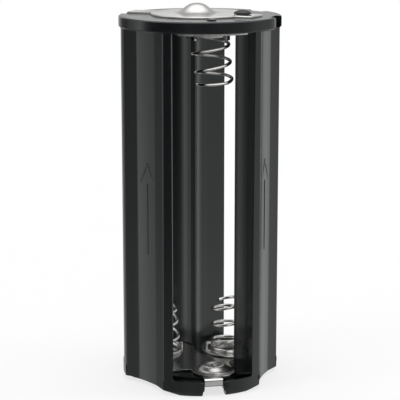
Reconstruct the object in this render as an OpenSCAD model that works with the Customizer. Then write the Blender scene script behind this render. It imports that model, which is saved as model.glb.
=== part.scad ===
// Cartridge for three AAA cells in series, with its plus button on top.
// Origin: on the cartridge's axis, in the plane of its feet. +Z up.
// Bay 0 opens toward -Y; bays 1 and 2 follow at 120 and 240 degrees, turning toward +X.
// Bay 0 takes its cell plus end down, the other two plus end up.

/* [Cells] */
// Diameter of a cell
cell_d = 10.5; // [10:0.1:10.8]
// Length of a cell
cell_l = 44.5; // [40:0.5:50]
// Gap around a cell in its bay
cell_gap = 0.35; // [0.2:0.05:0.45]
// Gap between neighbouring cells
cell_space = 0.55; // [0.45:0.05:0.7]

/* [Frame] */
// Outer diameter of the frame
body_d = 22.5; // [22.2:0.1:23.5]
// Height of the bays' floor above the feet
floor_z = 2.15; // [2:0.05:3]
// Thickness of the floor
floor_t = 0.9; // [0.7:0.05:1]
// Thickness of the top disc
top_t = 1.6; // [1.2:0.1:2.5]
// Height of the feet below the foot ring
foot_h = 0.58; // [0.4:0.02:0.7]
// Bevel of the bottom edge
foot_bevel = 0.65; // [0.3:0.05:0.9]
// Depth of the flute in each column's back
flute_depth = 1.57; // [1.2:0.01:1.8]
// Width of the flute's flat floor
flute_floor_w = 4.1; // [3:0.1:5]
// Width of the notches in both end discs
notch_w = 3.25; // [2.9:0.05:4]
// How far the end discs stand out past the columns
rim_step = 0.17; // [0.16:0.01:0.25]

/* [Contacts] */
// Thickness of the contact sheet
sheet = 0.3; // [0.2:0.05:0.35]
// Width of the bent tabs
tab_w = 2.6; // [2:0.1:2.7]
// Rise of a plus contact above its plate
plus_h = 0.75; // [0.5:0.05:0.9]
// Diameter of a plus contact
plus_d = 5; // [4.6:0.1:5.2]
// Sideways offset of the lower plus contact
plus_shift = 0.85; // [0:0.05:0.9]
// Diameter of the top button
button_d = 5.1; // [4:0.1:6]
// Rise of the top button above its plate
button_h = 1.35; // [0.8:0.05:1.6]
// Diameter of the top plate
top_plate_d = 13.6; // [12:0.1:14]

/* [Springs] */
// Diameter of the spring wire
wire_d = 0.44; // [0.35:0.01:0.5]
// Length of a spring with its cell in place
pressed_l = 2; // [1.9:0.1:2.6]
// Free length of the upper spring
upper_free_l = 7.5; // [6:0.1:9]
// Free length of the lower springs
lower_free_l = 7.2; // [6:0.1:9]

/* [Hidden] */
$fn = 96;
overlap = 0.01;

// plan of the frame
body_r = body_d / 2;
bay_half = cell_d / 2 + cell_gap;
bay_r = (cell_d + cell_space) / 2 / sin(60);
tip_r = 5.23;
column_r = body_r - rim_step;
land_angle = 22.5;
ridge_x = column_r * sin(land_angle);
ridge_y = column_r * cos(land_angle);
flute_y = body_r - flute_depth;

// heights
room = cell_l + 2 * sheet + plus_h + pressed_l;
ceiling_z = floor_z + room;
top_z = ceiling_z + top_t;
recess_z = floor_z - floor_t;
recess_r = 9.3;
top_bevel = 0.15;
rim_lead = 0.05;
foot_from = -26;
foot_to = 42;
trench_depth = 0.4;
trench_in = 9;
lip_t = 0.45;
kerb_x = 3.6;
kerb_gap = 0.1;
kerb_h = sheet + 0.1;
pip_gap = 0.95;
pip_d = 1.3;
pip_y = top_plate_d / 2 + pip_gap + pip_d / 2;
pip_h = 0.2;

// notches and what bends through them
edge_r = body_r - 1.25;
bend_r = 0.15;
leg_r = edge_r + bend_r;
key_angle = 63.7;
key_depth = 1;
tab_end_z = top_z - 0.3;

// contacts
plate_gap = 0.2;
bay_guard_r = bay_half + 0.2;
seat_r = 4.65;
upper_plate_half = 4.75;
lower_plate_front = bay_r - 0.5;
plus_lobe_d = 6.4;
ear_angle = 50.5;
stake_r = 6.6;
stake_neck_d = 1.5;
stake_head_d = 2.4;
stake_head_h = 0.6;
stake_gap = 0.1;
ear_end_r = 8.8;
ear_w = 3.4;
button_x = -0.45;
crest_r = 1.85;
dish_depth = 0.35;
brim = 0.1;
slug_r = 4.2;
cup_r = 2.5;
cup_flare = 0.6;
cup_h = 0.6;

// springs
wire_r = wire_d / 2;
upper_turns = 4.25;
lower_turns = 4;
flat_turns = 0.75;
upper_r = [2.58, 2.33];
lower_r = [3.4, 2.6];
upper_lean = 0.85;
steps_per_turn = 20;
wire_sides = 8;
lug_angles = [45, 145, 215];
lug_w = 0.9;
lug_gap = 0.05;

module at_bay(i) rotate([0, 0, 120 * i]) children();

// ---- plan shapes, drawn for a bay or a column that faces -Y ----

module bay_plan(half) {
    translate([0, -bay_r]) circle(r = half);
    translate([-half, -body_r - 1]) square([2 * half, body_r + 1 - bay_r]);
}

module flute_plan() {
    polygon([[-flute_floor_w / 2, -flute_y], [flute_floor_w / 2, -flute_y], [ridge_x, -ridge_y],
             [ridge_x, -body_r - 1], [-ridge_x, -body_r - 1], [-ridge_x, -ridge_y]]);
}

// what the three bays and the open middle between the columns' tips take away
module bays_plan() {
    for (i = [0:2]) rotate(120 * i) bay_plan(bay_half);
    circle(r = tip_r);
}

// sector from angle a to angle b, both measured from -Y toward +X
module sector(a, b, r) {
    polygon(concat([[0, 0]], [for (k = [0:6]) let (t = a + (b - a) * k / 6) 2 * r * [sin(t), -cos(t)]]));
}

// ---- frame: one moulding with both end discs, three columns and the rivet stake ----

module frame_envelope() {
    rotate_extrude()
        polygon([[0, 0], [body_r - foot_bevel, 0], [body_r, foot_bevel],
                 [body_r, floor_z - rim_lead - rim_step], [column_r, floor_z - rim_lead],
                 [column_r, ceiling_z + rim_lead], [body_r, ceiling_z + rim_lead + rim_step],
                 [body_r, top_z - top_bevel], [body_r - top_bevel, top_z], [0, top_z]]);
}

// flutes, bays and the hollow underside
module frame_hollows() {
    for (i = [0:2]) rotate([0, 0, 120 * i]) {
        translate([0, 0, -1]) linear_extrude(ceiling_z + 1) rotate(60) flute_plan();
        translate([0, 0, -1]) linear_extrude(foot_h + 1) sector(foot_to, foot_from + 120, body_r);
    }
    translate([0, 0, floor_z]) linear_extrude(room) bays_plan();
    translate([0, 0, -1]) cylinder(r = recess_r, h = recess_z + 1);
}

// cut across both discs' edges where a contact bends over
module edge_notch(z, h) {
    translate([-notch_w / 2, -body_r - 1, z]) cube([notch_w, body_r + 1 - edge_r, h]);
}

// shallow trench in a bay's floor, just inside its lip
module floor_trench() {
    translate([0, 0, floor_z - trench_depth]) linear_extrude(trench_depth + 1) intersection() {
        bay_plan(bay_half);
        difference() {
            circle(r = body_r - lip_t);
            circle(r = trench_in);
        }
        translate([-body_r, -2 * body_r]) square([2 * body_r, 2 * body_r - bay_r]);
    }
}

// low step beside the lower plus contact
module kerb() {
    translate([0, 0, floor_z - overlap]) linear_extrude(kerb_h + overlap) intersection() {
        bay_plan(bay_half + overlap);
        difference() {
            translate([kerb_x, -trench_in]) square([bay_half, trench_in]);
            circle(r = tip_r);
        }
    }
}

module stake() {
    rotate([0, 0, ear_angle]) translate([0, -stake_r, top_z - overlap]) {
        cylinder(d = stake_neck_d, h = sheet + stake_gap + 2 * overlap);
        translate([0, 0, sheet + stake_gap]) intersection() {
            cylinder(d = stake_head_d, h = stake_head_h);
            translate([0, 0, stake_head_h - stake_head_d * 0.9]) sphere(r = stake_head_d * 0.9);
        }
    }
}

module frame() color("#2b2b2e") {
    difference() {
        frame_envelope();
        frame_hollows();
        for (i = [0:2]) at_bay(i) {
            edge_notch(-1, floor_z + 2);
            translate([-notch_w / 2, -body_r, -1]) cube([notch_w, body_r - recess_r + 1, recess_z + 1]);
        }
        floor_trench();
        for (i = [1:2]) at_bay(i) edge_notch(ceiling_z - 1, top_t + 2);
        rotate([0, 0, key_angle]) translate([-notch_w / 2, -body_r - 1, ceiling_z])
            cube([notch_w, 1 + key_depth, top_t + 1]);
    }
    kerb();
    stake();
    translate([0, -pip_y, top_z - overlap]) cylinder(d = pip_d, h = pip_h);
}

// ---- sheet contacts ----

// section through a strip, x outward from the axis and y up, laid face to face on z_face:
// side 1 lies on top and bends down, side -1 lies below and bends up
module strip_section(z_face, z_end, r_in, side) {
    z_bend = z_face - side * bend_r;
    translate([r_in, min(z_face, z_face + side * sheet)]) square([edge_r - r_in + overlap, sheet]);
    translate([edge_r, z_bend]) intersection() {
        difference() {
            circle(r = bend_r + sheet);
            circle(r = bend_r);
        }
        translate([0, side > 0 ? 0 : -1]) square(1);
    }
    translate([leg_r, min(z_bend, z_end) - (side > 0 ? 0 : overlap)])
        square([sheet, abs(z_end - z_bend) + overlap]);
}

// a section swept sideways into a strip that runs out toward -Y
module radial_strip(w) rotate([90, 0, -90]) linear_extrude(w, center = true) children();

// raised plus contact: a coned ring with a dished middle, drawn upward from z = 0
module plus_contact() {
    flank = plus_d / 2;
    rotate_extrude() polygon([
        [0, plus_h - dish_depth], [crest_r * 0.45, plus_h - dish_depth * 0.9],
        [crest_r * 0.8, plus_h - dish_depth * 0.2], [crest_r, plus_h],
        [crest_r * 1.12, plus_h - 0.03], [flank * 0.88, 0.16], [flank, 0], [flank + brim, 0],
        [flank + brim, -sheet], [flank * 0.86, -sheet], [crest_r * 1.1, plus_h - sheet - 0.08],
        [crest_r * 0.8, plus_h - dish_depth * 0.2 - sheet], [0, plus_h - dish_depth - sheet]]);
}

// three lugs folded in over a spring's first turn, on a plate whose face is z = 0
module spring_lugs(coil_r) {
    outer = coil_r + wire_r + lug_gap;
    for (a = lug_angles) rotate([0, 0, a]) {
        translate([outer, -lug_w / 2, -overlap]) cube([sheet, lug_w, wire_d + lug_gap + sheet + overlap]);
        translate([coil_r - wire_r, -lug_w / 2, wire_d + lug_gap])
            cube([outer - coil_r + wire_r + overlap, lug_w, sheet]);
    }
}

module bay_centre(i) at_bay(i) translate([0, -bay_r, 0]) children();

// plan of a plate that joins two bays, out to far_r in one, and keeps clear of the third
module bridge_plan(full_bay, far_bay, free_bay, far_r) {
    difference() {
        union() {
            circle(r = tip_r - plate_gap);
            rotate(120 * full_bay) children();
            rotate(120 * far_bay) intersection() {
                bay_plan(bay_half - plate_gap);
                circle(r = far_r);
            }
        }
        rotate(120 * free_bay) translate([0, -bay_r]) circle(r = bay_guard_r);
    }
}

module lower_bridge() color("#cfd0d2") {
    plus_at = [plus_shift, -bay_r];
    difference() {
        union() {
            translate([0, 0, floor_z]) linear_extrude(sheet)
                bridge_plan(0, 2, 1, bay_r + seat_r) intersection() {
                    union() {
                        intersection() {
                            bay_plan(bay_half - plate_gap);
                            translate([-body_r, -lower_plate_front]) square([2 * body_r, body_r]);
                        }
                        translate(plus_at) circle(d = plus_lobe_d);
                    }
                    translate([-body_r, -body_r]) square([body_r + kerb_x - kerb_gap, 2 * body_r]);
                }
            radial_strip(tab_w) strip_section(floor_z, recess_z, bay_r + 1, 1);
        }
        translate([plus_at[0], plus_at[1], -1]) cylinder(d = plus_d, h = floor_z + 2);
    }
    translate([plus_at[0], plus_at[1], floor_z + sheet]) plus_contact();
    bay_centre(2) translate([0, 0, floor_z + sheet]) spring_lugs(lower_r[0]);
}

module upper_bridge() color("#cfd0d2") {
    difference() {
        translate([0, 0, ceiling_z - sheet]) linear_extrude(sheet) bridge_plan(0, 1, 2, trench_in) intersection() {
            bay_plan(bay_half - plate_gap);
            circle(r = edge_r + bend_r + sheet);
            translate([-upper_plate_half, -body_r]) square([2 * upper_plate_half, body_r]);
        }
        bay_centre(1) translate([0, 0, ceiling_z - sheet - 1]) cylinder(d = plus_d, h = sheet + 2);
    }
    bay_centre(1) translate([0, 0, ceiling_z - sheet]) mirror([0, 0, 1]) plus_contact();
    at_bay(1) radial_strip(tab_w) strip_section(ceiling_z, tab_end_z, trench_in - 1, -1);
    bay_centre(0) translate([0, 0, ceiling_z - sheet]) rotate([180, 0, 0]) spring_lugs(upper_r[0]);
}

module top_terminal() color("#d8d8da") {
    plate_r = top_plate_d / 2;
    ball_r = (pow(button_d / 2, 2) + pow(button_h, 2)) / 2 / button_h;
    // plate with its button hole and the hole for the stake
    translate([0, 0, top_z]) difference() {
        linear_extrude(sheet) {
            circle(r = plate_r);
            rotate(240) translate([-tab_w / 2, -edge_r]) square([tab_w, edge_r]);
            rotate(ear_angle) translate([-ear_w / 2, -ear_end_r]) square([ear_w, ear_end_r]);
        }
        translate([button_x, 0, -1]) cylinder(d = button_d - 2 * sheet, h = 2);
        rotate([0, 0, ear_angle]) translate([0, -stake_r, -1])
            cylinder(d = stake_neck_d + 2 * stake_gap, h = 2);
    }
    // button
    translate([button_x, 0, top_z + sheet]) intersection() {
        translate([0, 0, button_h - ball_r]) difference() {
            sphere(r = ball_r);
            sphere(r = ball_r - sheet);
        }
        translate([0, 0, -sheet]) cylinder(d = button_d + 1, h = button_h + sheet);
    }
    // tail that bends round the disc's edge and lies under it in bay 2
    at_bay(2) radial_strip(tab_w) {
        strip_section(top_z, (top_z + ceiling_z) / 2, edge_r - 1, 1);
        strip_section(ceiling_z, (top_z + ceiling_z) / 2, bay_r, -1);
    }
    difference() {
        bay_centre(2) translate([0, 0, ceiling_z - sheet]) cylinder(d = plus_lobe_d, h = sheet);
        bay_centre(2) translate([0, 0, ceiling_z - sheet - 1]) cylinder(d = plus_d, h = sheet + 2);
    }
    bay_centre(2) translate([0, 0, ceiling_z - sheet]) mirror([0, 0, 1]) plus_contact();
}

module bottom_terminal() color("#cfd0d2") {
    // seat of the right lower spring
    bay_centre(1) translate([0, 0, floor_z]) cylinder(r = seat_r, h = sheet);
    bay_centre(1) translate([0, 0, floor_z + sheet]) spring_lugs(lower_r[0]);
    // strip round the floor's edge and back under it to the middle
    at_bay(1) radial_strip(tab_w) {
        strip_section(floor_z, (floor_z + recess_z) / 2, bay_r + seat_r - 1, 1);
        strip_section(recess_z, (floor_z + recess_z) / 2, slug_r - 0.5, -1);
    }
    // middle contact, pressed down into a shallow cup
    translate([0, 0, recess_z - sheet]) rotate_extrude() polygon([
        [0, -cup_h], [cup_r, -cup_h], [cup_r + cup_flare, 0], [slug_r, 0], [slug_r, sheet],
        [cup_r + cup_flare - sheet / 2, sheet], [cup_r - sheet / 2, sheet - cup_h], [0, sheet - cup_h]]);
}

// ---- springs ----

// height of the wire's centre after t turns: flat at both ends, one pitch between
function rise(t, turns, height) =
    let (run = turns - 2 * flat_turns)
    t < flat_turns ? 0 : t > turns - flat_turns ? height : height * (t - flat_turns) / run;

// wire swept round a leaning, tapering helix that stands on z = 0
module spring(free_l, turns, radii, lean) {
    steps = round(turns * steps_per_turn);
    height = free_l - wire_d;
    rings = [for (k = [0:steps])
        let (t = k / steps_per_turn, a = 360 * t, u = rise(t, turns, height) / height,
             r = radii[0] + (radii[1] - radii[0]) * u, c = [cos(a), sin(a), 0])
        [for (s = [0:wire_sides - 1])
            let (w = 360 * (s + 0.5) / wire_sides, fit = wire_r / cos(180 / wire_sides))
            c * (r + fit * cos(w)) + [lean * u, 0, wire_r + height * u + fit * sin(w)]]];
    sides = [for (k = [0:steps - 1], s = [0:wire_sides - 1])
        let (p = k * wire_sides, q = (s + 1) % wire_sides)
        [p + s, p + q, p + q + wire_sides, p + s + wire_sides]];
    first = [for (s = [0:wire_sides - 1]) wire_sides - 1 - s];
    last = [for (s = [0:wire_sides - 1]) steps * wire_sides + s];
    polyhedron([for (ring = rings, p = ring) p], concat(sides, [first, last]));
}

module upper_spring() color("#e2e2e2")
    bay_centre(0) translate([0, 0, ceiling_z - sheet]) rotate([180, 0, 0])
        spring(upper_free_l, upper_turns, upper_r, upper_lean);

module lower_spring(i) color("#e2e2e2")
    bay_centre(i) translate([0, 0, floor_z + sheet])
        spring(lower_free_l, lower_turns, lower_r, 0);

module right_lower_spring() lower_spring(1);
module left_lower_spring() lower_spring(2);

frame();
top_terminal();
upper_bridge();
lower_bridge();
bottom_terminal();
upper_spring();
right_lower_spring();
left_lower_spring();
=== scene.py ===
import math
import bpy
import bmesh
from mathutils import Matrix, Vector


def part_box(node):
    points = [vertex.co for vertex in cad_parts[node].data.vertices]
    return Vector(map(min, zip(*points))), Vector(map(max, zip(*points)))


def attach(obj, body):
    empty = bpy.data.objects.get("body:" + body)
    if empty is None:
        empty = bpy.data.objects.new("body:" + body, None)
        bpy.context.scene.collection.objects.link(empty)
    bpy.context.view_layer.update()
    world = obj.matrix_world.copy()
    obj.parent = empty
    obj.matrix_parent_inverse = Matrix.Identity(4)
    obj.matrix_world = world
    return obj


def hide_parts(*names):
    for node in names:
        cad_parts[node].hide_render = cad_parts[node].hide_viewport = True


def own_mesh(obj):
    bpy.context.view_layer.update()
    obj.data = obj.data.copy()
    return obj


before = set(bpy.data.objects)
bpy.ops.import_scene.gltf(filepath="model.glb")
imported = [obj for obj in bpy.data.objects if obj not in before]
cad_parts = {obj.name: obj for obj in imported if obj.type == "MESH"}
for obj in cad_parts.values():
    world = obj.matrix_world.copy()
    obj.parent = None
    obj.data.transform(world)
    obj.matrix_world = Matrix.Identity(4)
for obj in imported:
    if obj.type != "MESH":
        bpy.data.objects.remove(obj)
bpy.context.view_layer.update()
print("stage: frame loaded")

mm = 0.001
# points closer than these count as one, and an edge between faces this nearly flat goes
merge = {"copy": 0.0005 * mm, "edges": 0.002 * mm, "turned": 0.0001 * mm, "axis": 1e-9,
         "flat": math.radians(0.5)}


def linearColour(hexCode):
    # sRGB hex to linear, with full alpha
    parts = [int(hexCode[i:i + 2], 16) / 255 for i in (1, 3, 5)]
    return tuple(c / 12.92 if c <= 0.04045 else ((c + 0.055) / 1.055) ** 2.4 for c in parts) + (1.0,)


def addNode(tree, kind, settings=None, **inputs):
    # one node: its settings, then each input as a value or a link;
    # _ stands for a space in a socket's name, and _0 for the first socket
    node = tree.nodes.new(kind)
    for key, value in (settings or {}).items():
        setattr(node, key, value)
    for key, value in inputs.items():
        socket = node.inputs[int(key[1:])] if key[1:].isdigit() else node.inputs[key.replace("_", " ")]
        if isinstance(value, bpy.types.NodeSocket):
            tree.links.new(value, socket)
        else:
            socket.default_value = value
    return node


def fillRamp(ramp, stops):
    # grey stops, each as its position and its strength
    elements = ramp.color_ramp.elements
    while len(elements) > 1:
        elements.remove(elements[-1])
    for k, (position, strength) in enumerate(stops):
        stop = elements[0] if k == 0 else elements.new(1.0)
        stop.position = position
        stop.color = (strength,) * 3 + (1,)


def newObject(name, mesh):
    thing = bpy.data.objects.new(name, mesh)
    bpy.context.scene.collection.objects.link(thing)
    return thing


def openMesh(thing):
    bm = bmesh.new()
    bm.from_mesh(thing.data)
    return bm


def closeMesh(bm, thing):
    bm.to_mesh(thing.data)
    bm.free()


def meshObject(name, bm):
    thing = newObject(name, bpy.data.meshes.new(name))
    closeMesh(bm, thing)
    return thing


def newTree(name, sizes):
    # a geometry tree with one named float input for each size
    tree = bpy.data.node_groups.new(name, "GeometryNodeTree")
    for label in sizes:
        tree.interface.new_socket(label, in_out="INPUT", socket_type="NodeSocketFloat")
    tree.interface.new_socket("Geometry", in_out="OUTPUT", socket_type="NodeSocketGeometry")
    return tree, tree.nodes.new("NodeGroupInput").outputs


def applyModifiers(thing):
    # keeps the evaluated result as a plain mesh
    bpy.context.view_layer.update()
    evaluated = thing.evaluated_get(bpy.context.evaluated_depsgraph_get())
    mesh = bpy.data.meshes.new_from_object(evaluated)
    thing.modifiers.clear()
    thing.data = mesh


def runTree(name, tree, sizes):
    # the tree's result at these sizes, as a plain mesh
    thing = newObject(name, bpy.data.meshes.new(name))
    modifier = thing.modifiers.new(name, "NODES")
    modifier.node_group = tree
    for item in tree.interface.items_tree:
        if item.in_out == "INPUT":
            modifier[item.identifier] = float(sizes[item.name])
    applyModifiers(thing)
    return thing


# camera: left of the front bay's middle, looking a little down; lengths in mm, angles in degrees
view = {"azimuth": -10.6, "distance": 206.0, "height": 70.1, "pitch": 12.225, "lens": 134.0,
        "sensor": 36, "clip": (0.01, 20)}


def makeCamera():
    data = bpy.data.cameras.new("camera")
    data.lens = view["lens"]
    data.sensor_width = view["sensor"]
    data.clip_start, data.clip_end = view["clip"]
    camera = newObject("camera", data)
    turn = math.radians(view["azimuth"])
    out = view["distance"] * mm
    camera.location = (out * math.sin(turn), -out * math.cos(turn), view["height"] * mm)
    camera.rotation_euler = (math.radians(90 - view["pitch"]), 0, turn)
    bpy.context.scene.camera = camera


makeCamera()


def newMaterial(name):
    material = bpy.data.materials.new(name)
    material.use_nodes = True
    tree = material.node_tree
    tree.nodes.clear()
    return material, tree


# lines are drawn up the columns: width, depth and length of one; grain is coarser than the real
# tool's, so that it shows
absLook = {"dark": "#0c0e0f", "pale": "#101213", "tint": "#f9ffff", "rough": (0.18, 0.26),
           "lines": (0.9 * mm, 0.9 * mm, 14 * mm), "lineShare": 0.5, "grain": 0.25 * mm,
           "cloud": 6 * mm, "bump": 0.12, "depth": 0.02 * mm}


def blackAbs():
    # black ABS, injection moulded in a semi-gloss tool: broad soft reflections with a cool tint,
    # faint draw lines up the columns and a slight unevenness in the gloss
    look = absLook
    material, tree = newMaterial("blackMouldedAbs")
    place = addNode(tree, "ShaderNodeTexCoord").outputs["Object"]
    drawn = addNode(tree, "ShaderNodeMapping", None, Vector=place,
                    Scale=tuple(1 / size for size in look["lines"])).outputs[0]
    lines = addNode(tree, "ShaderNodeTexNoise", None, Vector=drawn, Scale=1.0,
                    Detail=2.0).outputs["Fac"]
    grain = addNode(tree, "ShaderNodeTexNoise", None, Vector=place, Scale=1 / look["grain"],
                    Detail=3.0).outputs["Fac"]
    cloud = addNode(tree, "ShaderNodeTexNoise", None, Vector=place, Scale=1 / look["cloud"],
                    Detail=2.0).outputs["Fac"]
    rough = addNode(tree, "ShaderNodeMapRange", None, Value=lines, To_Min=look["rough"][0],
                    To_Max=look["rough"][1]).outputs[0]
    tone = addNode(tree, "ShaderNodeMix", {"data_type": "RGBA"}, _0=cloud,
                   _6=linearColour(look["dark"]), _7=linearColour(look["pale"])).outputs[2]
    height = addNode(tree, "ShaderNodeMath", {"operation": "MULTIPLY_ADD"}, _0=lines,
                     _1=look["lineShare"], _2=grain).outputs[0]
    bump = addNode(tree, "ShaderNodeBump", None, Strength=look["bump"], Distance=look["depth"],
                   Height=height).outputs[0]
    shader = addNode(tree, "ShaderNodeBsdfPrincipled", None, Base_Color=tone, Roughness=rough,
                     IOR=1.54, Normal=bump, Specular_Tint=linearColour(look["tint"]))
    addNode(tree, "ShaderNodeOutputMaterial", None, Surface=shader.outputs[0])
    return material


# the grain's three sizes are across, along and down the rolled sheet
sheetLook = {"dark": "#cdccca", "pale": "#dcdbd9", "rough": 0.15, "pressedRough": 0.28,
             "patchRough": 0.08, "grain": (0.15 * mm, 2.5 * mm, 0.6 * mm), "cloud": 1.6 * mm,
             "bump": 0.1, "depth": 0.01 * mm}


def nickelSheet():
    # steel sheet, pressed and bright nickel plated: a mirror with a fine rolled grain and faint rub
    # marks, duller where the sheet was drawn out over the domes
    look = sheetLook
    material, tree = newMaterial("nickelPlatedSheet")
    place = addNode(tree, "ShaderNodeTexCoord").outputs["Object"]
    rolled = addNode(tree, "ShaderNodeMapping", None, Vector=place,
                     Scale=tuple(1 / size for size in look["grain"])).outputs[0]
    grain = addNode(tree, "ShaderNodeTexNoise", None, Vector=rolled, Scale=1.0,
                    Detail=3.0).outputs["Fac"]
    cloud = addNode(tree, "ShaderNodeTexNoise", None, Vector=place, Scale=1 / look["cloud"],
                    Detail=3.0).outputs["Fac"]
    pressed = addNode(tree, "ShaderNodeAttribute", {"attribute_name": "pressed"}).outputs["Fac"]
    base = addNode(tree, "ShaderNodeMapRange", None, Value=pressed, To_Min=look["rough"],
                   To_Max=look["pressedRough"]).outputs[0]
    rough = addNode(tree, "ShaderNodeMath", {"operation": "MULTIPLY_ADD"}, _0=cloud,
                    _1=look["patchRough"], _2=base).outputs[0]
    tone = addNode(tree, "ShaderNodeMix", {"data_type": "RGBA"}, _0=cloud,
                   _6=linearColour(look["dark"]), _7=linearColour(look["pale"])).outputs[2]
    bump = addNode(tree, "ShaderNodeBump", None, Strength=look["bump"], Distance=look["depth"],
                   Height=grain).outputs[0]
    shader = addNode(tree, "ShaderNodeBsdfPrincipled", None, Base_Color=tone, Metallic=1.0,
                     Roughness=rough, Normal=bump)
    addNode(tree, "ShaderNodeOutputMaterial", None, Surface=shader.outputs[0])
    return material


wireLook = {"dark": "#cbcac7", "pale": "#e2e1df", "rough": (0.14, 0.26), "cloud": 0.5 * mm,
            "bump": 0.1, "depth": 0.01 * mm}


def springWire():
    # spring steel wire, drawn and nickel plated: bright, with slight patches where the plating is
    # duller
    look = wireLook
    material, tree = newMaterial("nickelPlatedWire")
    place = addNode(tree, "ShaderNodeTexCoord").outputs["Object"]
    cloud = addNode(tree, "ShaderNodeTexNoise", None, Vector=place, Scale=1 / look["cloud"],
                    Detail=3.0).outputs["Fac"]
    rough = addNode(tree, "ShaderNodeMapRange", None, Value=cloud, To_Min=look["rough"][0],
                    To_Max=look["rough"][1]).outputs[0]
    tone = addNode(tree, "ShaderNodeMix", {"data_type": "RGBA"}, _0=cloud,
                   _6=linearColour(look["dark"]), _7=linearColour(look["pale"])).outputs[2]
    bump = addNode(tree, "ShaderNodeBump", None, Strength=look["bump"], Distance=look["depth"],
                   Height=cloud).outputs[0]
    shader = addNode(tree, "ShaderNodeBsdfPrincipled", None, Base_Color=tone, Metallic=1.0,
                     Roughness=rough, Normal=bump)
    addNode(tree, "ShaderNodeOutputMaterial", None, Surface=shader.outputs[0])
    return material


blackPlastic = blackAbs()
sheetMetal = nickelSheet()
wireMetal = springWire()
print("stage: materials made")


def copyNode(name, node):
    # a CAD node's mesh as one closed skin
    bm = openMesh(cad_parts[node])
    bmesh.ops.remove_doubles(bm, verts=bm.verts, dist=merge["copy"])
    bmesh.ops.dissolve_degenerate(bm, dist=merge["copy"], edges=bm.edges)
    return meshObject(name, bm)


def boolean(thing, tool, operation):
    # cuts the tool out of the thing or joins it on; the tool itself goes
    modifier = thing.modifiers.new("cut", "BOOLEAN")
    modifier.operation = operation
    modifier.solver = "MANIFOLD"
    modifier.object = tool
    applyModifiers(thing)
    bpy.data.objects.remove(tool)


def prism(name, outline, low, high):
    # a closed block on a plan outline drawn anticlockwise
    bm = bmesh.new()
    rings = [[bm.verts.new((x, y, z)) for x, y in outline] for z in (low, high)]
    bm.faces.new(rings[0][::-1])
    bm.faces.new(rings[1])
    for k in range(len(outline)):
        bm.faces.new((rings[0][k - 1], rings[0][k], rings[1][k], rings[1][k - 1]))
    return meshObject(name, bm)


def circle(centre, radius, count):
    # plan points round centre, anticlockwise
    return [(centre[0] + radius * math.cos(math.tau * k / count),
             centre[1] + radius * math.sin(math.tau * k / count)) for k in range(count)]


def turned(name, profile, centre, flip, count):
    # spins a closed profile round the vertical line through centre; flip points it downward
    bm = bmesh.new()
    rings = []
    for radius, rise in profile:
        z = centre[2] + (-rise if flip else rise)
        plan = [centre[:2]] if radius < merge["axis"] else circle(centre, radius, count)
        rings.append([bm.verts.new((x, y, z)) for x, y in plan])
    for one, two in zip(rings, rings[1:]):
        for k in range(count):
            corners = [one[k % len(one)], one[(k + 1) % len(one)],
                       two[(k + 1) % len(two)], two[k % len(two)]]
            corners = [v for i, v in enumerate(corners) if v not in corners[:i]]
            if len(corners) > 2:
                bm.faces.new(corners)
    bmesh.ops.remove_doubles(bm, verts=bm.verts, dist=merge["turned"])
    bmesh.ops.recalc_face_normals(bm, faces=bm.faces)
    return meshObject(name, bm)


def roundUprights(thing, uprights):
    # rounds the long upright edges between two radii, each band by its own width
    bm = openMesh(thing)
    bmesh.ops.dissolve_limit(bm, angle_limit=merge["flat"], verts=bm.verts, edges=bm.edges)
    length, angle = uprights["longerThan"], math.radians(uprights["sharperThan"])
    for inner, outer, width in uprights["bands"]:
        chosen = [e for e in bm.edges if abs(e.verts[0].co.z - e.verts[1].co.z) > length
                  and e.is_manifold and e.calc_face_angle() > angle
                  and inner < e.verts[0].co.xy.length < outer]
        bmesh.ops.bevel(bm, geom=chosen, offset=width, offset_type="OFFSET", segments=4,
                        profile=0.5, affect="EDGES", clamp_overlap=False)
    closeMesh(bm, thing)


wholeHeight = ((-1.0, 1.0),)


def softenEdges(thing, edge, corner, zones=wholeHeight, clamp=True):
    # softens the outward edges sharper than corner zone by zone of height, so that small faces in
    # one zone don't hold back the others
    bm = openMesh(thing)
    bmesh.ops.remove_doubles(bm, verts=bm.verts, dist=merge["edges"])
    bmesh.ops.dissolve_limit(bm, angle_limit=merge["flat"], verts=bm.verts, edges=bm.edges)
    bm.normal_update()
    for low, high in zones:
        hard = [e for e in bm.edges if e.is_manifold and e.is_convex
                and e.calc_face_angle() > math.radians(corner)
                and low <= min(v.co.z for v in e.verts) and max(v.co.z for v in e.verts) < high]
        bmesh.ops.bevel(bm, geom=hard, offset=edge, offset_type="OFFSET", segments=2, profile=0.5,
                        affect="EDGES", clamp_overlap=clamp)
    bmesh.ops.delete(bm, geom=[e for e in bm.edges if not e.link_faces], context="EDGES")
    closeMesh(bm, thing)


def shadePiece(thing, material, corner):
    # smooth between the sharp edges, with wide faces flat beside their rounded edges
    thing.data.materials.clear()
    thing.data.materials.append(material)
    thing.data.shade_smooth()
    thing.data.set_sharp_from_angle(angle=math.radians(corner))
    modifier = thing.modifiers.new("shading", "WEIGHTED_NORMAL")
    modifier.keep_sharp = True
    modifier.weight = 50
    applyModifiers(thing)


# the raised arrows: width and height of the ribs, then heights above the feet; the angle is the
# barbs' lean in radians
arrowSizes = {"Line": 0.34 * mm, "Depth": 0.09 * mm, "Flute Y": 9.55 * mm,
              "Shaft Low": 19.15 * mm, "Shaft High": 29.0 * mm, "Tip": 31.9 * mm,
              "Barb Length": 3.2 * mm, "Barb Angle": 0.47, "Columns": 3}


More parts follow.
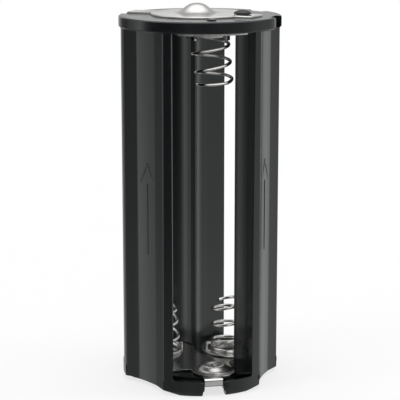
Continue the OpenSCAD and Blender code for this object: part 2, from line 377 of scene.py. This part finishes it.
def arrowTree():
    # an arrow of three straight ribs, repeated round the columns' flutes
    tree, size = newTree("fluteArrows", arrowSizes)
    low, high = size["Shaft Low"], size["Shaft High"]
    length = addNode(tree, "ShaderNodeMath", {"operation": "SUBTRACT"}, _0=high, _1=low).outputs[0]
    both = addNode(tree, "ShaderNodeMath", {"operation": "ADD"}, _0=high, _1=low).outputs[0]
    middle = addNode(tree, "ShaderNodeMath", {"operation": "MULTIPLY"}, _0=both, _1=0.5).outputs[0]
    deep = addNode(tree, "ShaderNodeMath", {"operation": "MULTIPLY"}, _0=size["Depth"],
                   _1=2.0).outputs[0]
    outward = addNode(tree, "ShaderNodeMath", {"operation": "MULTIPLY"}, _0=size["Flute Y"],
                      _1=-1.0).outputs[0]
    shaftSize = addNode(tree, "ShaderNodeCombineXYZ", None, X=size["Line"], Y=deep, Z=length).outputs[0]
    shaftAt = addNode(tree, "ShaderNodeCombineXYZ", None, Y=outward, Z=middle).outputs[0]
    bar = addNode(tree, "GeometryNodeMeshCube", None, Size=shaftSize).outputs[0]
    shaft = addNode(tree, "GeometryNodeTransform", None, Geometry=bar, Translation=shaftAt).outputs[0]
    barbSize = addNode(tree, "ShaderNodeCombineXYZ", None, X=size["Line"], Y=deep,
                       Z=size["Barb Length"]).outputs[0]
    down = addNode(tree, "ShaderNodeMath", {"operation": "MULTIPLY"}, _0=size["Barb Length"],
                   _1=-0.5).outputs[0]
    hang = addNode(tree, "ShaderNodeCombineXYZ", None, Z=down).outputs[0]
    tipAt = addNode(tree, "ShaderNodeCombineXYZ", None, Y=outward, Z=size["Tip"]).outputs[0]
    head = addNode(tree, "GeometryNodeMeshBoolean", {"operation": "UNION", "solver": "EXACT"})
    for side in (1.0, -1.0):
        bar = addNode(tree, "GeometryNodeMeshCube", None, Size=barbSize).outputs[0]
        hung = addNode(tree, "GeometryNodeTransform", None, Geometry=bar, Translation=hang).outputs[0]
        lean = addNode(tree, "ShaderNodeMath", {"operation": "MULTIPLY"}, _0=size["Barb Angle"],
                       _1=side).outputs[0]
        turn = addNode(tree, "ShaderNodeCombineXYZ", None, Y=lean).outputs[0]
        barb = addNode(tree, "GeometryNodeTransform", None, Geometry=hung, Translation=tipAt,
                       Rotation=turn).outputs[0]
        tree.links.new(barb, head.inputs["Mesh 2"])
    arrow = addNode(tree, "GeometryNodeJoinGeometry")
    tree.links.new(head.outputs[0], arrow.inputs[0])
    tree.links.new(shaft, arrow.inputs[0])
    # one arrow for each column, half a step round from the front bay
    copies = addNode(tree, "GeometryNodeMeshLine", None, Count=size["Columns"], Offset=(0, 0, 0))
    index = addNode(tree, "GeometryNodeInputIndex").outputs[0]
    step = addNode(tree, "ShaderNodeMath", {"operation": "DIVIDE"}, _0=math.tau,
                   _1=size["Columns"]).outputs[0]
    number = addNode(tree, "ShaderNodeMath", {"operation": "ADD"}, _0=index, _1=0.5).outputs[0]
    angle = addNode(tree, "ShaderNodeMath", {"operation": "MULTIPLY"}, _0=step, _1=number).outputs[0]
    facing = addNode(tree, "ShaderNodeCombineXYZ", None, Z=angle).outputs[0]
    repeated = addNode(tree, "GeometryNodeInstanceOnPoints", None, Points=copies.outputs[0],
                       Instance=arrow.outputs[0], Rotation=facing)
    real = addNode(tree, "GeometryNodeRealizeInstances", None, Geometry=repeated.outputs[0])
    done = addNode(tree, "GeometryNodeSetMaterial", None, Geometry=real.outputs[0],
                   Material=blackPlastic)
    addNode(tree, "NodeGroupOutput", None, Geometry=done.outputs[0])
    return tree


def arcBlock(name, rows):
    # a closed block on an arc: at each angle in degrees, its section as (radius, height) in mm
    bm = bmesh.new()
    rings = []
    for angle, section in rows:
        turn = math.radians(angle)
        rings.append([bm.verts.new((r * mm * math.sin(turn), -r * mm * math.cos(turn), z * mm))
                      for r, z in section])
    for one, two in zip(rings, rings[1:]):
        for k in range(len(one)):
            bm.faces.new((one[k - 1], one[k], two[k], two[k - 1]))
    bm.faces.new(rings[0][::-1])
    bm.faces.new(rings[-1])
    bmesh.ops.recalc_face_normals(bm, faces=bm.faces)
    return meshObject(name, bm)


# each foot's two ends, as heights in mm at angles in degrees from the front notch round; its outer
# radius is the one underneath, and grows by "bevel" for each mm of height
footSizes = {"inner": 9.32, "outer": 10.59, "bevel": 0.74, "top": 0.62,
             "fill": [(82.4, 0.57), (88.0, 0.31), (94.2, 0.0)],
             "cut": [(26.0, -0.02), (30.0, 0.12), (34.0, 0.36), (37.5, 0.62), (43.0, 0.66)],
             "cutInner": 9.0, "cutOuter": 12.5, "cutLow": -1.0}


def slopeFoot(moulding, turn):
    # one end of the foot runs up to the ridge beside it in a slope, the other in a short curve
    size = footSizes
    inner, outer, top, bevel = size["inner"], size["outer"], size["top"], size["bevel"]
    high = outer + top * bevel
    fill = [(angle + turn, [(inner, z), (outer + z * bevel, z), (high, top), (inner, top)])
            for angle, z in size["fill"]]
    boolean(moulding, arcBlock("footSlope", fill), "UNION")
    near, far, under = size["cutInner"], size["cutOuter"], size["cutLow"]
    cut = [(angle + turn, [(near, under), (far, under), (far, z), (near, z)])
           for angle, z in size["cut"]]
    boolean(moulding, arcBlock("footCut", cut), "DIFFERENCE")


# half widths and heights of the edge notch's jaws, and the radii that they lie between
jawSizes = {"near": 1.33 * mm, "far": 1.66 * mm, "low": 0.62 * mm, "high": 1.9 * mm,
            "corner": 0.33 * mm, "arc": (0.3, 0.6, 0.9, 1.2),
            "inner": 9.5 * mm, "outer": 10.68 * mm}


def closeNotch(moulding, turn):
    # the edge notch closes in on both sides, and its upper corners are round
    size = jawSizes
    near, far, low, high, bend = (size[key] for key in ("near", "far", "low", "high", "corner"))
    section = [(near, low + bend), (near, high), (far, high), (far, low)]
    section += [(far - bend * math.sin(t), low + bend * (1 - math.cos(t))) for t in size["arc"]]
    stand = Matrix.Rotation(math.radians(turn), 4, "Z") @ Matrix.Rotation(math.radians(90), 4, "X")
    for side in (1, -1):
        outline = [(side * x, z) for x, z in section][::-side]
        jaw = prism("notchJaw", outline, size["inner"], size["outer"])
        jaw.data.transform(stand)
        boolean(moulding, jaw, "UNION")


# the flutes' floors, where the CAD frame has them, and how far they sag
fluteSizes = {"y": 9.68 * mm, "half": 2.05 * mm, "sag": 0.1 * mm, "steps": 12, "outside": 12 * mm,
              "low": -1 * mm, "snap": 0.01 * mm}


def hollowFlutes(moulding, ceilingZ):
    # slightly hollow floors in the three flutes, up to the top disc
    size = fluteSizes
    half, sag, steps, outside = size["half"], size["sag"], size["steps"], size["outside"]
    # the top disc's underside at exactly one height, where the cuts end
    for vertex in moulding.data.vertices:
        if abs(vertex.co.z - ceilingZ) < size["snap"]:
            vertex.co.z = ceilingZ
    bend = (half * half + sag * sag) / (2 * sag)
    curve = []
    for i in range(steps + 1):
        x = half * (2 * i / steps - 1)
        curve.append((x, -(size["y"] - sag + bend - math.sqrt(bend * bend - x * x))))
    section = [(half, -outside)] + curve[::-1] + [(-half, -outside)]
    for k in range(3):
        turn = Matrix.Rotation(math.radians(120 * k + 60), 2)
        outline = [tuple(turn @ Vector(p)) for p in section]
        boolean(moulding, prism("fluteFloor", outline, size["low"], ceilingZ), "DIFFERENCE")


# the frame, one moulding; its column radius repeats the CAD frame's
frameSizes = {"columnRadius": 11.08 * mm, "discTop": 2.0 * mm, "edge": 0.06 * mm, "corner": 32,
              # heights of the bottom disc, the columns and the top disc
              "zones": ((-1 * mm, 2 * mm), (2 * mm, 49 * mm), (49 * mm, 60 * mm)),
              # inner radius, outer radius and rounding: tips toward the middle, ridges outside
              "uprights": {"longerThan": 20 * mm, "sharperThan": 20,
                           "bands": [(4.0 * mm, 5.5 * mm, 0.08 * mm),
                                     (10.9 * mm, 11.3 * mm, 0.22 * mm)]}}
# the contacts' sheet; the top disc's underside is one thickness above the upper spring's seat
sheetThick = 0.3 * mm


def makeFrame():
    size = frameSizes
    moulding = copyNode("frameMoulding", "frame")
    # the bottom disc's wall runs flush into the columns
    for vertex in moulding.data.vertices:
        reach = vertex.co.xy.length
        if vertex.co.z < size["discTop"] and reach > size["columnRadius"]:
            vertex.co.xy *= size["columnRadius"] / reach
    roundUprights(moulding, size["uprights"])
    for turn in (0, 120, 240):
        slopeFoot(moulding, turn)
        closeNotch(moulding, turn)
    hollowFlutes(moulding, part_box("upper_spring")[1][2] + sheetThick)
    # the arrows stand a hair proud of the flutes' floors
    arrows = runTree("arrows", arrowTree(), arrowSizes)
    bm = openMesh(moulding)
    bm.from_mesh(arrows.data)
    closeMesh(bm, moulding)
    bpy.data.objects.remove(arrows)
    softenEdges(moulding, size["edge"], size["corner"], size["zones"])
    shadePiece(moulding, blackPlastic, size["corner"])
    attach(moulding, "cartridge")
    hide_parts("frame")
    print("stage: frame moulded", len(moulding.data.polygons), "faces")


makeFrame()

# the contacts: the bays' distance from the axis, the domes' shifts from their bays and from the
# axis, and the lower bridge's front tab, which leans in below a height
contactSizes = {"bayRadius": 6.38 * mm, "plusShift": 0.85 * mm, "buttonShift": -0.45 * mm,
                "edge": 0.05 * mm, "corner": 40,
                "tab": {"from": 1.45 * mm, "lean": 0.5, "clear": 0.01 * mm}}
# pressed domes: height of the sheet's face at each radius in mm, from the middle out
domeFaces = {"plus": [(0.0, 0.70), (0.15, 0.69), (0.3, 0.63), (0.6, 0.62), (0.9, 0.70),
                      (1.2, 0.74), (1.5, 0.66), (1.8, 0.42), (2.1, 0.18), (2.4, 0.05),
                      (2.64, 0.0)],
             "button": [(0.0, 1.35), (0.45, 1.33), (0.9, 1.22), (1.3, 1.02), (1.65, 0.78),
                        (2.0, 0.52), (2.35, 0.30), (2.7, 0.15), (3.05, 0.05), (3.34, 0.0)]}
# how finely a dome is turned, how far a face may be from its level and still be set on it, how far
# the hole reaches behind and before the face, and the dome's outer part where its polish returns
domeSizes = {"sides": 72, "steps": 4, "snap": 0.003 * mm, "behind": 0.45 * mm, "before": 2 * mm,
             "outerPart": 0.25}


def smoothCurve(points, steps):
    # a rounded line through points
    out = []
    for k in range(len(points) - 1):
        a, b, c, d = (Vector(points[max(0, min(len(points) - 1, k + j))]) for j in (-1, 0, 1, 2))
        for i in range(steps):
            t = i / steps
            out.append(0.5 * (2 * b + (c - a) * t + (2 * a - 5 * b + 4 * c - d) * t * t
                              + (3 * b - a - 3 * c + d) * t ** 3))
    return out + [Vector(points[-1])]


def pressDome(contact, face, centre, flip):
    # swaps the CAD contact's plain rise for the pressed one
    size = domeSizes
    side = -1 if flip else 1
    # the sheet's two faces at exactly the dome's heights, so that the join is clean
    for vertex in contact.data.vertices:
        for level in (centre[2], centre[2] - side * sheetThick):
            if abs(vertex.co.z - level) < size["snap"]:
                vertex.co.z = level
    span = (centre[2] - side * size["behind"], centre[2] + side * size["before"])
    ring = circle(centre, face[-1][0] * mm, size["sides"])
    boolean(contact, prism("hole", ring, min(span), max(span)), "DIFFERENCE")
    upper = [Vector((max(p.x, 0.0) * mm, p.y * mm)) for p in smoothCurve(face, size["steps"])]
    under = [Vector((p.x, p.y - sheetThick)) for p in upper[::-1]]
    boolean(contact, turned("dome", upper + under, centre, flip, size["sides"]), "UNION")


def markPressed(contact, domes):
    # 1 on the domes, falling to 0 at their feet, for the sheet's material
    mark = contact.data.attributes.new("pressed", "FLOAT", "POINT")
    for k, vertex in enumerate(contact.data.vertices):
        for face, centre, flip in domes:
            near = (vertex.co.xy - Vector(centre[:2])).length / (face[-1][0] * mm)
            share = min(1.0, max(0.0, (1.0 - near) / domeSizes["outerPart"]))
            mark.data[k].value = max(mark.data[k].value, share)


def curlTab(contact, tab):
    # the end of the front tab turns in a little
    bm = openMesh(contact)
    bmesh.ops.bisect_plane(bm, geom=bm.verts[:] + bm.edges[:] + bm.faces[:],
                           plane_co=(0, 0, tab["from"]), plane_no=(0, 0, 1))
    for vertex in bm.verts:
        if vertex.co.z < tab["from"] - tab["clear"] and vertex.co.y < 0:
            vertex.co.y += (tab["from"] - vertex.co.z) * tab["lean"]
    closeMesh(bm, contact)


def bayCentre(bay, shift=0.0):
    turn = math.radians(120 * bay)
    out = contactSizes["bayRadius"]
    return (out * math.sin(turn) + shift, -out * math.cos(turn))


def makeContacts():
    size = contactSizes
    plus, button = domeFaces["plus"], domeFaces["button"]
    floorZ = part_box("right_lower_spring")[0][2]
    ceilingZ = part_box("upper_spring")[1][2]
    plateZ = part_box("top_terminal")[1][2] - button[0][1] * mm
    # each contact's name and its domes: face, centre, and whether it points down
    contacts = {"lower_bridge": ("lowerBridgeSheet",
                                 [(plus, bayCentre(0, size["plusShift"]) + (floorZ,), False)]),
                "upper_bridge": ("upperBridgeSheet", [(plus, bayCentre(1) + (ceilingZ,), True)]),
                "top_terminal": ("topTerminalSheet",
                                 [(plus, bayCentre(2) + (ceilingZ,), True),
                                  (button, (size["buttonShift"], 0.0, plateZ), False)]),
                "bottom_terminal": ("bottomTerminalSheet", [])}
    for node, (name, domes) in contacts.items():
        contact = copyNode(name, node)
        if node == "lower_bridge":
            curlTab(contact, size["tab"])
        softenEdges(contact, size["edge"], size["corner"], clamp=False)
        for face, centre, flip in domes:
            pressDome(contact, face, centre, flip)
        shadePiece(contact, sheetMetal, size["corner"])
        markPressed(contact, domes)
        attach(contact, "cartridge")
        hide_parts(node)
    print("stage: contacts pressed")


makeContacts()

springSizes = {"Wire": 0.44 * mm, "Flat Turns": 0.75, "Steps": 40}
upperCoil = {"Free Length": 6.85 * mm, "Turns": 3.75, "End Turns": 0.35, "Seat Radius": 2.58 * mm,
             "Free Radius": 2.33 * mm, "Lean": 0.85 * mm, "Phase": math.radians(-90),
             "Slope": -0.2 * mm, "Slope Way": 0.0}
rightCoil = {"Free Length": 6.9 * mm, "Turns": 4.0, "End Turns": 0.6, "Seat Radius": 3.1 * mm,
             "Free Radius": 2.7 * mm, "Lean": 0.5 * mm, "Phase": 0.0,
             "Slope": 0.3 * mm, "Slope Way": math.radians(-130)}
leftCoil = dict(rightCoil, Phase=math.radians(-140))


def springTree():
    # wire swept along a tapering helix that stands on z = 0, flat turns at both ends
    labels = list(springSizes) + list(upperCoil) + ["Seat X", "Seat Y", "Seat Z", "Tip Over", "Turn"]
    tree, size = newTree("coilSpring", labels)
    count = addNode(tree, "ShaderNodeMath", {"operation": "MULTIPLY_ADD"}, _0=size["Turns"],
                    _1=size["Steps"], _2=1.0)
    line = addNode(tree, "GeometryNodeMeshLine", None, Count=count.outputs[0])
    number = addNode(tree, "GeometryNodeInputIndex").outputs[0]
    turn = addNode(tree, "ShaderNodeMath", {"operation": "DIVIDE"}, _0=number,
                   _1=size["Steps"]).outputs[0]
    angle = addNode(tree, "ShaderNodeMath", {"operation": "MULTIPLY_ADD"}, _0=turn, _1=math.tau,
                    _2=size["Phase"]).outputs[0]
    last = addNode(tree, "ShaderNodeMath", {"operation": "SUBTRACT"}, _0=size["Turns"],
                   _1=size["End Turns"]).outputs[0]
    rise = addNode(tree, "ShaderNodeMapRange", None, Value=turn, From_Min=size["Flat Turns"],
                   From_Max=last).outputs[0]
    radius = addNode(tree, "ShaderNodeMapRange", None, Value=rise, To_Min=size["Seat Radius"],
                     To_Max=size["Free Radius"]).outputs[0]
    lean = addNode(tree, "ShaderNodeMath", {"operation": "MULTIPLY"}, _0=size["Lean"],
                   _1=rise).outputs[0]
    cosine = addNode(tree, "ShaderNodeMath", {"operation": "COSINE"}, _0=angle).outputs[0]
    sine = addNode(tree, "ShaderNodeMath", {"operation": "SINE"}, _0=angle).outputs[0]
    x = addNode(tree, "ShaderNodeMath", {"operation": "MULTIPLY_ADD"}, _0=radius, _1=cosine,
                _2=lean).outputs[0]
    y = addNode(tree, "ShaderNodeMath", {"operation": "MULTIPLY"}, _0=radius, _1=sine).outputs[0]
    half = addNode(tree, "ShaderNodeMath", {"operation": "MULTIPLY"}, _0=size["Wire"],
                   _1=0.5).outputs[0]
    climb = addNode(tree, "ShaderNodeMath", {"operation": "SUBTRACT"}, _0=size["Free Length"],
                    _1=size["Wire"]).outputs[0]
    # the coils lie a little askew
    off = addNode(tree, "ShaderNodeMath", {"operation": "SUBTRACT"}, _0=angle,
                  _1=size["Slope Way"]).outputs[0]
    swing = addNode(tree, "ShaderNodeMath", {"operation": "COSINE"}, _0=off).outputs[0]
    reach = addNode(tree, "ShaderNodeMath", {"operation": "MULTIPLY_ADD"}, _0=size["Slope"],
                    _1=swing, _2=climb).outputs[0]
    z = addNode(tree, "ShaderNodeMath", {"operation": "MULTIPLY_ADD"}, _0=reach, _1=rise,
                _2=half).outputs[0]
    point = addNode(tree, "ShaderNodeCombineXYZ", None, X=x, Y=y, Z=z).outputs[0]
    placed = addNode(tree, "GeometryNodeSetPosition", None, Geometry=line.outputs[0], Position=point)
    path = addNode(tree, "GeometryNodeMeshToCurve", None, Mesh=placed.outputs[0])
    ring = addNode(tree, "GeometryNodeCurvePrimitiveCircle", None, Resolution=16, Radius=half)
    swept = addNode(tree, "GeometryNodeCurveToMesh", None, Curve=path.outputs[0],
                    Profile_Curve=ring.outputs[0], Fill_Caps=True)
    seat = addNode(tree, "ShaderNodeCombineXYZ", None, X=size["Seat X"], Y=size["Seat Y"],
                   Z=size["Seat Z"]).outputs[0]
    lay = addNode(tree, "ShaderNodeCombineXYZ", None, X=size["Tip Over"], Z=size["Turn"]).outputs[0]
    moved = addNode(tree, "GeometryNodeTransform", None, Geometry=swept.outputs[0],
                    Translation=seat, Rotation=lay)
    smooth = addNode(tree, "GeometryNodeSetShadeSmooth", None, Geometry=moved.outputs[0])
    real = addNode(tree, "GeometryNodeRealizeInstances", None, Geometry=smooth.outputs[0])
    done = addNode(tree, "GeometryNodeSetMaterial", None, Geometry=real.outputs[0],
                   Material=wireMetal)
    addNode(tree, "NodeGroupOutput", None, Geometry=done.outputs[0])
    return tree


def addSpring(tree, name, node, coil, bay, fromTop):
    # seated at the centre of its bay, squashed toward its seat as the cell goes in
    low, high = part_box(node)
    seat = bayCentre(bay) + (high[2] if fromTop else low[2],)
    sizes = dict(springSizes, **coil)
    sizes.update({"Seat X": seat[0], "Seat Y": seat[1], "Seat Z": seat[2],
                  "Tip Over": math.pi if fromTop else 0.0, "Turn": math.radians(120 * bay)})
    spring = runTree(name, tree, sizes)
    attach(spring, node)
    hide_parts(node)
    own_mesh(spring)


coils = springTree()
addSpring(coils, "upperSpring", "upper_spring", upperCoil, 0, True)
addSpring(coils, "rightLowerSpring", "right_lower_spring", rightCoil, 1, False)
addSpring(coils, "leftLowerSpring", "left_lower_spring", leftCoil, 2, False)
print("stage: springs made")

# the floor keeps the object's shadow near it and fades to the background's white further off;
# "least" is the white's share right beside the object
floorLook = {"tone": "#f6f6f6", "fadeFrom": 0.01, "fadeTo": 0.2, "least": 0.72, "reach": 6.0}


def makeFloor():
    look = floorLook
    material, tree = newMaterial("paleFloor")
    place = addNode(tree, "ShaderNodeTexCoord").outputs["Object"]
    far = addNode(tree, "ShaderNodeVectorMath", {"operation": "LENGTH"}, _0=place).outputs["Value"]
    fade = addNode(tree, "ShaderNodeMapRange", None, Value=far, From_Min=look["fadeFrom"],
                   From_Max=look["fadeTo"], To_Min=look["least"]).outputs[0]
    matt = addNode(tree, "ShaderNodeBsdfDiffuse", None, Color=linearColour(look["tone"]))
    glow = addNode(tree, "ShaderNodeEmission", None, Color=(1, 1, 1, 1), Strength=1.0)
    seen = addNode(tree, "ShaderNodeLightPath").outputs["Is Camera Ray"]
    share = addNode(tree, "ShaderNodeMath", {"operation": "MULTIPLY"}, _0=fade, _1=seen).outputs[0]
    mixed = addNode(tree, "ShaderNodeMixShader", None, _0=share, _1=matt.outputs[0],
                    _2=glow.outputs[0])
    addNode(tree, "ShaderNodeOutputMaterial", None, Surface=mixed.outputs[0])
    mesh = bpy.data.meshes.new("floor")
    edge = look["reach"]
    mesh.from_pydata([(-edge, -edge, 0), (edge, -edge, 0), (edge, edge, 0), (-edge, edge, 0)], [],
                     [(0, 1, 2, 3)])
    floor = newObject("floor", mesh)
    mesh.materials.append(material)
    floor.visible_glossy = False


# what the gloss reflects: cards on a cylinder round the object, with their strength by the angle in
# degrees from the camera toward its right, and a lift low down in front by height
cards = {"radius": 0.13, "low": -0.09, "high": 0.06, "sides": 90, "liftFades": (-1.0, 0.1),
         "ring": [(-180, 0.0), (-172, 0.02), (-164, 0.6), (-150, 0.7), (-140, 0.12), (-122, 0.12),
                  (-113, 0.36), (-106, 0.45), (-100, 0.6), (-94, 1.0), (-88, 1.4), (-80, 0.4),
                  (-72, 0.02), (-40, 0.0), (-28, 0.02), (-16, 0.15), (0, 0.08), (25, 0.22),
                  (60, 0.3), (82, 0.6), (98, 0.6), (110, 0.4), (125, 0.6), (136, 0.95), (146, 0.7),
                  (153, 0.02), (170, 0.0)],
         "lift": [(0.035, 0.0), (-0.01, 0.12), (-0.03, 0.3)]}


def makeCards():
    material, tree = newMaterial("reflectorCards")
    place = addNode(tree, "ShaderNodeTexCoord").outputs["Object"]
    axis = addNode(tree, "ShaderNodeSeparateXYZ", None, Vector=place).outputs
    front = addNode(tree, "ShaderNodeMath", {"operation": "MULTIPLY"}, _0=axis["Y"],
                    _1=-1.0).outputs[0]
    around = addNode(tree, "ShaderNodeMath", {"operation": "ARCTAN2"}, _0=axis["X"],
                     _1=front).outputs[0]
    fromView = addNode(tree, "ShaderNodeMath", {"operation": "SUBTRACT"}, _0=around,
                       _1=math.radians(view["azimuth"])).outputs[0]
    share = addNode(tree, "ShaderNodeMapRange", {"clamp": False}, Value=fromView,
                    From_Min=-math.pi, From_Max=math.pi).outputs[0]
    wrapped = addNode(tree, "ShaderNodeMath", {"operation": "FRACT"}, _0=share).outputs[0]
    ramp = addNode(tree, "ShaderNodeValToRGB", None, Fac=wrapped)
    fillRamp(ramp, [((angle + 180) / 360, strength) for angle, strength in cards["ring"]])
    (topZ, dim), (midZ, mid), (lowZ, bright) = cards["lift"]
    upper = addNode(tree, "ShaderNodeMapRange", None, Value=axis["Z"], From_Min=topZ, From_Max=midZ,
                    To_Min=dim, To_Max=mid).outputs[0]
    lower = addNode(tree, "ShaderNodeMapRange", None, Value=axis["Z"], From_Min=midZ, From_Max=lowZ,
                    To_Min=0.0, To_Max=bright - mid).outputs[0]
    lift = addNode(tree, "ShaderNodeMath", {"operation": "ADD"}, _0=upper, _1=lower).outputs[0]
    cosine = addNode(tree, "ShaderNodeMath", {"operation": "COSINE"}, _0=fromView).outputs[0]
    inFront = addNode(tree, "ShaderNodeMapRange", None, Value=cosine,
                      From_Min=cards["liftFades"][0], From_Max=cards["liftFades"][1]).outputs[0]
    total = addNode(tree, "ShaderNodeMath", {"operation": "MULTIPLY_ADD"}, _0=lift, _1=inFront,
                    _2=ramp.outputs["Color"]).outputs[0]
    glow = addNode(tree, "ShaderNodeEmission", None, Color=(1, 1, 1, 1), Strength=total)
    addNode(tree, "ShaderNodeOutputMaterial", None, Surface=glow.outputs[0])
    bm = bmesh.new()
    count, radius = cards["sides"], cards["radius"]
    rows = [[bm.verts.new((radius * math.sin(math.tau * k / count),
                           -radius * math.cos(math.tau * k / count), z)) for k in range(count)]
            for z in (cards["low"], cards["high"])]
    for k in range(count):
        bm.faces.new((rows[0][k - 1], rows[0][k], rows[1][k], rows[1][k - 1]))
    wall = meshObject("reflectorCards", bm)
    wall.data.materials.append(material)
    wall.visible_camera = wall.visible_diffuse = False
    wall.visible_shadow = wall.visible_transmission = False


# the studio above the cards: strength by the sine of the elevation, one softbox over the camera,
# whose edges are cosines of the angle from its middle, and the fill on what isn't glossy
sky = {"rise": [(-1.0, 0.3), (-0.15, 0.3), (0.0, 1.0), (0.15, 0.9), (0.35, 0.5), (1.0, 0.35)],
       "boxElevation": 70.0, "boxEdge": 0.35, "boxFull": 0.7, "boxStrength": 1.35, "fill": 0.45}


def makeWorld():
    # white to the camera, a bright sky in the gloss, plain fill light on the rest
    world = bpy.data.worlds.new("studio")
    bpy.context.scene.world = world
    world.use_nodes = True
    tree = world.node_tree
    tree.nodes.clear()
    path = addNode(tree, "ShaderNodeLightPath").outputs
    seen = addNode(tree, "ShaderNodeMath", {"operation": "MAXIMUM"}, _0=path["Is Camera Ray"],
                   _1=path["Is Transmission Ray"]).outputs[0]
    way = addNode(tree, "ShaderNodeTexCoord").outputs["Generated"]
    height = addNode(tree, "ShaderNodeSeparateXYZ", None, Vector=way).outputs["Z"]
    place = addNode(tree, "ShaderNodeMapRange", None, Value=height, From_Min=-1.0,
                    From_Max=1.0).outputs[0]
    ramp = addNode(tree, "ShaderNodeValToRGB", None, Fac=place)
    fillRamp(ramp, [((rise + 1) / 2, strength) for rise, strength in sky["rise"]])
    turn, lift = math.radians(view["azimuth"]), math.radians(sky["boxElevation"])
    box = (math.sin(turn) * math.cos(lift), -math.cos(turn) * math.cos(lift), math.sin(lift))
    toward = addNode(tree, "ShaderNodeVectorMath", {"operation": "DOT_PRODUCT"}, _0=way,
                     _1=box).outputs["Value"]
    softbox = addNode(tree, "ShaderNodeMapRange", None, Value=toward, From_Min=sky["boxEdge"],
                      From_Max=sky["boxFull"], To_Max=sky["boxStrength"]).outputs[0]
    bright = addNode(tree, "ShaderNodeMath", {"operation": "ADD"}, _0=ramp.outputs["Color"],
                     _1=softbox).outputs[0]
    plain = addNode(tree, "ShaderNodeMix", {"data_type": "FLOAT"}, _0=path["Is Glossy Ray"],
                    _2=sky["fill"], _3=bright).outputs[0]
    strength = addNode(tree, "ShaderNodeMix", {"data_type": "FLOAT"}, _0=seen, _2=plain,
                       _3=1.0).outputs[0]
    back = addNode(tree, "ShaderNodeBackground", None, Color=(1, 1, 1, 1), Strength=strength)
    addNode(tree, "ShaderNodeOutputWorld", None, Surface=back.outputs[0])


# lamps that light the matt part of each surface: place, width and height, power in watts
lamps = {"aim": (0, 0, 0.027),
         "boxes": {"leftSoftbox": ((-0.6, -0.15, 0.25), (0.35, 0.6), 1.6),
                   "rightSoftbox": ((0.6, -0.1, 0.25), (0.35, 0.6), 1.6),
                   "topSoftbox": ((0.0, 0.05, 0.8), (0.6, 0.6), 3.0)}}


def addLamp(name, place, aim, size, power):
    data = bpy.data.lights.new(name, "AREA")
    data.shape = "RECTANGLE"
    data.size, data.size_y = size
    data.energy = power
    lamp = newObject(name, data)
    lamp.visible_glossy = False
    lamp.location = place
    lamp.rotation_euler = (Vector(aim) - Vector(place)).to_track_quat("-Z", "Y").to_euler()


makeFloor()
makeCards()
makeWorld()
for lampName, (place, size, power) in lamps["boxes"].items():
    addLamp(lampName, place, lamps["aim"], size, power)
bpy.context.scene.view_settings.view_transform = "Standard"
print("stage: floor and lights made")
